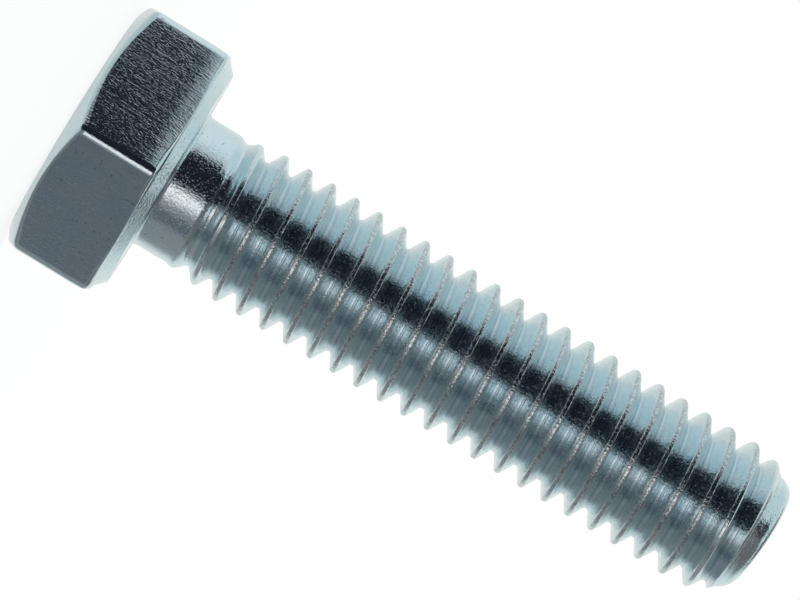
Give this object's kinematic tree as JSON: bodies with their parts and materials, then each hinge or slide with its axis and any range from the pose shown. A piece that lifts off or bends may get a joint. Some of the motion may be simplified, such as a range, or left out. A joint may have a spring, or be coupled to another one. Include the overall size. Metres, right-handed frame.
{
  "type": "hex bolt",
  "caption": "Fully threaded hexagon head bolt of bright zinc plated steel, with chamfered head, washer face, short plain neck and coned thread end.",
  "frame": {"origin": "centre of the head's flat top face, which is the lowest point as the bolt stands on its head", "axes": "+Z along the bolt from head to thread end; two of the head's flats face +X and -X, and two of its corners point to +Y and -Y"},
  "size_m": [0.0098, 0.0112, 0.0293],
  "materials": {
    "bright_zinc_steel": "bright zinc plating, cool blue-white, over cold-formed steel; glossy with fine drawn grain"
  },
  "bodies": {
    "root": {"hex_bolt": "bright_zinc_steel"}
  },
  "joints": []
}
